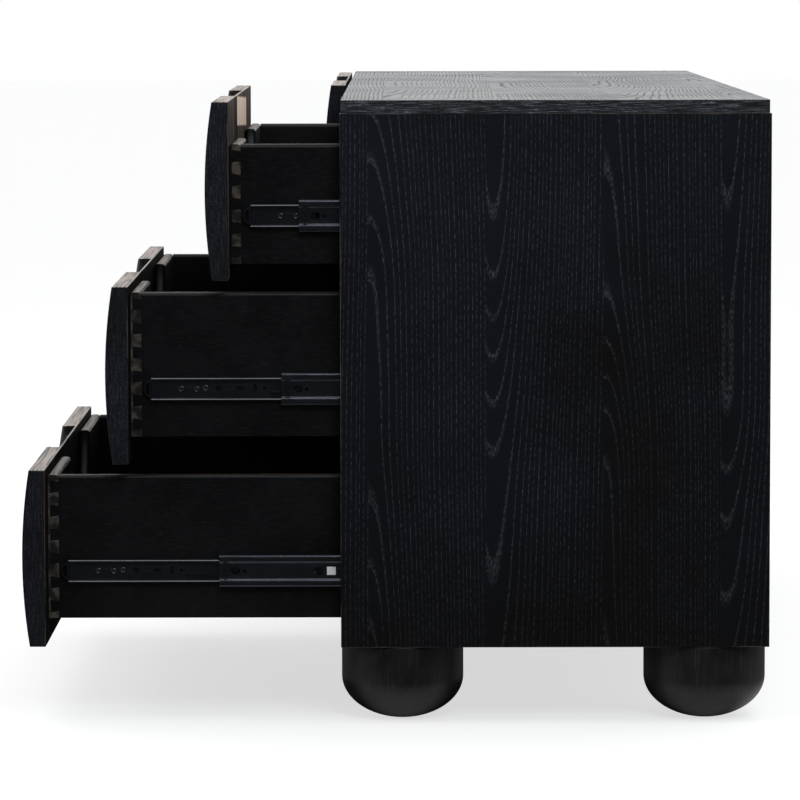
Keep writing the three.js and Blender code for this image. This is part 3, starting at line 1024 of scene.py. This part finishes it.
def rail_mesh(name, half_path, length, slots, highlight_lips=False):
    """A rail from Y = 0 back, with holes through its web. slots pair a Y span with a Z span."""
    bm = prism(sheet_outline(half_path, RAIL_SHEET), "y", 0, length)
    bm = carve(bm, [slot_cutter(y, z) for y, z in slots])
    # Painted highlight: the lip edges take the lighter steel.
    lip = (half_path[-1][0] + 0.2) * MM
    for face in bm.faces:
        if highlight_lips and face.calc_center_median().x < lip:
            face.material_index = 1
    return mesh_of(bm, name)


def slot_cutter(y, z, x=WEB_CUT, steps=8):
    """A bar with round ends, as long as its Y span and as tall as its Z span, across its X span."""
    radius = min(y[1] - y[0], z[1] - z[0]) / 2
    points = []
    corners = [(y[1] - radius, z[1] - radius, 0), (y[0] + radius, z[1] - radius, 90)]
    corners += [(y[0] + radius, z[0] + radius, 180), (y[1] - radius, z[0] + radius, 270)]
    for centre_y, centre_z, first in corners:
        for step in range(steps + 1):
            angle = math.radians(first + 90 * step / steps)
            point = (centre_y + radius * math.cos(angle), centre_z + radius * math.sin(angle))
            if not points or math.dist(points[-1], point) > 0.01:
                points.append(point)
    if math.dist(points[0], points[-1]) < 0.01:
        points.pop()
    return prism(points, "x", *x)


def screw_mesh(name, places, x_face, way):
    """Pan-head screws with cross slots, on a web at x_face, standing out along way."""
    parts = []
    for y, z in places:
        profile = [(3.3, 0.0), (3.3, 0.5), (3.0, 1.1), (2.5, 1.35), (2.0, 1.3), (1.6, 1.0)]
        head = lathe(profile, 20)
        cross = [block((-1.7, -0.35, 0.5), (1.7, 0.35, 3.0)), block((-0.35, -1.7, 0.5), (0.35, 1.7, 3.0))]
        for arm in cross:
            head = carve(head, [arm])
        bmesh.ops.rotate(head, verts=head.verts, matrix=Matrix.Rotation(way * math.pi / 2, 3, "Y"))
        parts.append(shift(head, mm(x_face, y, z)))
    return mesh_of(joined(parts), name)


def end_stop_mesh(name):
    """The moulded stop at the front of a drawer rail: a curved nose with an opening."""
    def nose(reach, half_height, back):
        points = [(back, -half_height), (back, half_height)]
        for step in range(1, 16):
            angle = math.pi * step / 16
            points.append((back - reach * math.sin(angle), half_height * math.cos(angle)))
        return points

    body = prism(nose(8.2, 9.4, 0.0), "x", 7.2, 12.6)
    round_edges(body, sharp_edges(body, 40), 0.6, 2)
    return mesh_of(carve(body, [prism(nose(5.0, 6.4, -1.8), "x", 3, 14)]), name)


def runner_latch_mesh(name):
    """The moulded keeper at a runner's front: a ring with a keyway, and a foot on the lower track."""
    ring = slot_cutter((3.4, 10.0), (-3.3, 3.3), (2.7, 4.5))
    bore = slot_cutter((5.0, 8.4), (-1.7, 1.7))
    keyway = prism([(6.1, 1.0), (7.3, 1.0), (7.3, 9.0), (6.1, 9.0)], "x", *WEB_CUT)
    stem = prism([(5.2, -9.6), (8.2, -9.6), (7.7, -3.1), (5.7, -3.1)], "x", 2.7, 4.4)
    stay = prism([(5.5, 3.1), (7.9, 3.1), (7.9, 9.2), (5.5, 9.2)], "x", 2.9, 4.4)
    return mesh_of(joined([carve(ring, [bore]), stem, carve(stay, [keyway])]), name)


def lever_mesh(name):
    """The release lever in a drawer rail: a tapered tongue with a raised thumb pad."""
    outline = [(0.0, 3.6), (4.0, 2.9), (26.0, 1.4), (31.0, 1.0), (31.0, 5.2), (26.0, 5.2), (6.0, 4.4)]
    tongue = prism(outline, "x", 8.4, 10.2)
    round_edges(tongue, sharp_edges(tongue, 20), 0.4, 2)
    pad = block((7.4, 24.5, 1.8), (8.3, 30.0, 4.8))
    round_edges(pad, sharp_edges(pad), 0.35, 2)
    return mesh_of(joined([tongue, pad]), name)


def pad_mesh(name):
    """A square nylon cushion let into a runner's web."""
    pad = block((3.9, 0.0, -4.4), (6.8, 9.6, 4.4))
    round_edges(pad, sharp_edges(pad), 0.5, 2)
    return mesh_of(pad, name)


def ball_cage_mesh(name, place, length, count, ball):
    """A strip of sheet with balls in it, above and below the middle line, at an X and Z."""
    x, z = place
    parts = []
    for sign in (1, -1):
        strip = block((x - 2.6, 0.0, sign * z - 0.25), (x + 2.6, length, sign * z + 0.25))
        round_edges(strip, sharp_edges(strip), 0.1, 1)
        parts.append(strip)
        for index in range(count):
            sphere = bmesh.new()
            bmesh.ops.create_icosphere(sphere, subdivisions=2, radius=ball / 2 * MM)
            parts.append(shift(sphere, mm(x, (index + 0.5) * length / count, sign * (z + 0.55))))
    return mesh_of(joined(parts), name)


def make_slide_meshes():
    """The members of one slide, all starting at Y = 0, with the wall at X = 0 and the drawer along +X."""
    length = {}
    for member in ("case_rail", "runner", "drawer_rail"):
        low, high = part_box(f"right_lower_{member}_outer")
        length[member] = (high.y - low.y) / MM
    cage = (CAGE_LENGTH, BALLS_IN_CAGE)
    return {
        "case_rail": rail_mesh("case rail", CASE_RAIL_HALF, length["case_rail"], CASE_RAIL_SLOTS),
        "runner": rail_mesh("runner", RUNNER_HALF, length["runner"], RUNNER_SLOTS),
        "drawer_rail": rail_mesh(
            "drawer rail", DRAWER_RAIL_HALF, length["drawer_rail"], DRAWER_RAIL_SLOTS, highlight_lips=True
        ),
        "stop": end_stop_mesh("end stop"),
        "keeper": runner_latch_mesh("keeper"),
        "lever": lever_mesh("release lever"),
        "pad": pad_mesh("nylon pad"),
        "screws": screw_mesh("slide screws", SCREW_PLACES, SCREW_FACE, -1),
        "inner_cage": ball_cage_mesh("inner ball cage", INNER_CAGE, *cage, INNER_BALL),
        "outer_cage": ball_cage_mesh("outer ball cage", OUTER_CAGE, *cage, OUTER_BALL),
    }


def build_slide(meshes, prefix, where):
    """Hangs one slide of a drawer: where is "outer" for the case's side or "inner" for the divider."""
    column = prefix.split("_")[0]
    side = SIDES[column]
    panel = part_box(f"{column}_side_panel")
    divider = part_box("centre_divider")
    panel_face = panel[0].x if side > 0 else panel[1].x
    divider_face = divider[1].x if side > 0 else divider[0].x
    wall = panel_face if where == "outer" else divider_face
    turned = (side > 0) == (where == "outer")
    runner_low, runner_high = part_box(f"{prefix}_runner_outer")
    drawer_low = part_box(f"{prefix}_drawer_rail_outer")[0]
    case_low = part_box("right_lower_case_rail_outer")[0]
    height = (runner_low.z + runner_high.z) / 2
    drawer, runner = f"{prefix}_drawer", f"{prefix}_runner"
    steel, plastic = "slide_steel", "latch_plastic"
    rear_cage = runner_high.y - (CAGE_LENGTH + CAGE_FROM_END) * MM

    members = [
        ("case_rail", case_low.y, "carcass", STEEL, steel),
        ("runner", runner_low.y, runner, STEEL, steel),
        ("drawer_rail", drawer_low.y, drawer, STEEL, steel),
        ("stop", drawer_low.y - STOP_GAP * MM, drawer, BLACK_PLASTIC, plastic),
        ("keeper", runner_low.y, runner, BLACK_PLASTIC, plastic),
        ("lever", drawer_low.y + LEVER_FROM_FRONT * MM, drawer, BLACK_PLASTIC, plastic),
        ("pad", runner_low.y + PAD_FROM_FRONT * MM, runner, WHITE_NYLON, plastic),
        ("screws", drawer_low.y, drawer, SCREW_STEEL, "screw_steel"),
        ("inner_cage", runner_low.y + CAGE_FROM_END * MM, runner, STEEL, steel),
        ("outer_cage", rear_cage, runner, STEEL, steel),
    ]
    for member, y, body, material, slot in members:
        node = f"{prefix}_{member}_{where}"
        stands_for = [node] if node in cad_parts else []
        name = f"{prefix}_{where}_slide_{member}"
        place = Vector((wall, y, height))
        add_piece(name, meshes[member], [material, PAINTED_HIGHLIGHT_STEEL], body, slot, stands_for, place, turned)


# ---------- Setting ----------

def build_camera():
    data = bpy.data.cameras.new("camera")
    data.lens = CAMERA_LENS
    data.sensor_width = 36.0
    data.clip_start = 0.05
    data.clip_end = 100.0
    camera = bpy.data.objects.new("camera", data)
    bpy.context.scene.collection.objects.link(camera)
    side_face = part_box("right_side_panel")[1].x
    case_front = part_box("right_side_panel")[0].y
    camera.location = (
        side_face + CAMERA_STANDOFF * MM,
        case_front + CAMERA_BEHIND_CASE_FRONT * MM,
        CAMERA_HEIGHT * MM,
    )
    pitch, yaw = math.radians(CAMERA_PITCH_DEGREES), math.radians(CAMERA_YAW_DEGREES)
    forward = Vector((
        -math.cos(yaw) * math.cos(pitch), math.sin(yaw) * math.cos(pitch), -math.sin(pitch)
    ))
    roll = Quaternion((0, 0, 1), math.radians(CAMERA_ROLL_DEGREES))
    camera.rotation_mode = "QUATERNION"
    camera.rotation_quaternion = forward.to_track_quat("-Z", "Y") @ roll
    bpy.context.scene.camera = camera


def build_floor():
    """A pale floor with an even glow of its own. Glossy pieces see it dark, a painted shade, but for a
    bright strip near them, a painted reflection.
    """
    bm = bmesh.new()
    bmesh.ops.create_grid(bm, x_segments=1, y_segments=1, size=30.0)
    floor = bpy.data.objects.new("floor", mesh_of(bm, "floor"))
    bpy.context.scene.collection.objects.link(floor)
    material, nodes, shader = new_material("pale floor", Roughness=0.9, Specular_IOR_Level=0.0)
    rays = nodes.add("ShaderNodeLightPath").outputs
    footprint = [max(abs(cad_low[axis]), abs(cad_high[axis])) for axis in (0, 1)]
    position = nodes.vector_math("ABSOLUTE", nodes.add("ShaderNodeNewGeometry").outputs["Position"])
    beyond_edges = nodes.split(nodes.vector_math("SUBTRACT", position, (*footprint, 0)))
    outside = nodes.math("MAXIMUM", beyond_edges[0], beyond_edges[1])
    beneath = nodes.ramp(outside, -0.055, 0.01)
    beyond = nodes.ramp(outside, 0.01, 0.15, 1.0, 0.0)
    near = nodes.times(beneath, beyond)
    # Painted shade: glossy rays see the floor nearly black.
    shade = nodes.times(rays["Is Glossy Ray"], FLOOR_MIRROR_DIMMING)
    nodes.feed(shader.inputs["Base Color"], nodes.mix_colour(shade, FLOOR_WHITE, (0, 0, 0, 1)))
    glow = nodes.times(rays["Is Camera Ray"], FLOOR_GLOW)
    # Painted reflection: only glossy rays see the strip round the chest glow.
    mirrored = nodes.times(nodes.times(rays["Is Glossy Ray"], near), FLOOR_NEAR_MIRROR)
    shader.inputs["Emission Color"].default_value = (1, 1, 1, 1)
    nodes.feed(shader.inputs["Emission Strength"], nodes.plus(glow, mirrored))
    floor.data.materials.append(material)


def build_world():
    """A white room: bright behind and above the chest, dark towards the camera's side."""
    world = bpy.data.worlds.new("studio")
    bpy.context.scene.world = world
    world.use_nodes = True
    nodes = Nodes(world.node_tree)
    background = world.node_tree.nodes["Background"]
    way = nodes.split(nodes.add("ShaderNodeTexCoord").outputs["Generated"])
    towards_back = nodes.ramp(way[0], -0.60, 0.50, 1.60, 0.07)
    overhead = nodes.ramp(way[2], 0.25, 1.0, 0.0, 0.20)
    room = nodes.plus(towards_back, overhead)
    seen = nodes.add("ShaderNodeLightPath").outputs["Is Camera Ray"]
    nodes.feed(background.inputs["Strength"], nodes.mix_value(seen, room, 1.0))
    nodes.feed(background.inputs["Color"], nodes.mix_colour(seen, (0.98, 0.99, 1.0, 1), (1, 1, 1, 1)))


def add_light(name, place, aim, size, power, colour=(1, 1, 1)):
    data = bpy.data.lights.new(name, "AREA")
    data.shape = "RECTANGLE"
    data.size, data.size_y = size
    data.energy = power
    data.color = colour
    light = bpy.data.objects.new(name, data)
    bpy.context.scene.collection.objects.link(light)
    light.location = place
    light.rotation_euler = (Vector(aim) - Vector(place)).to_track_quat("-Z", "Y").to_euler()


def build_lights():
    add_light("key", (3.6, 0.7, 2.7), (0.75, 0.0, 0.45), (1.4, 1.4), 50.0, (0.90, 0.96, 1.0))
    add_light("overhead", (0.0, 0.0, 3.2), (0.0, 0.0, 0.0), (4.5, 4.5), 60.0)
    add_light("front fill", (1.6, -3.2, 1.6), (0.2, -0.2, 0.35), (1.8, 1.8), 34.0, (1.0, 0.97, 0.94))
    add_light("rear fill", (1.2, 3.4, 1.8), (0.3, 0.2, 0.35), (1.8, 1.8), 12.0, (0.92, 0.96, 1.0))


def build_setting():
    bpy.context.scene.view_settings.view_transform = "Standard"
    build_camera()
    build_floor()
    build_world()
    build_lights()


# ---------- The chest ----------

build_setting()
build_case()
build_feet()
slide_meshes = make_slide_meshes()
for side_index, side_name in enumerate(SIDES):
    for tier_index, tier_name in enumerate(TIERS):
        drawer_prefix = f"{side_name}_{tier_name}"
        build_front(drawer_prefix, 30.0 + 7 * tier_index + 40 * side_index)
        build_box(drawer_prefix)
        for slide_place in ("outer", "inner"):
            build_slide(slide_meshes, drawer_prefix, slide_place)
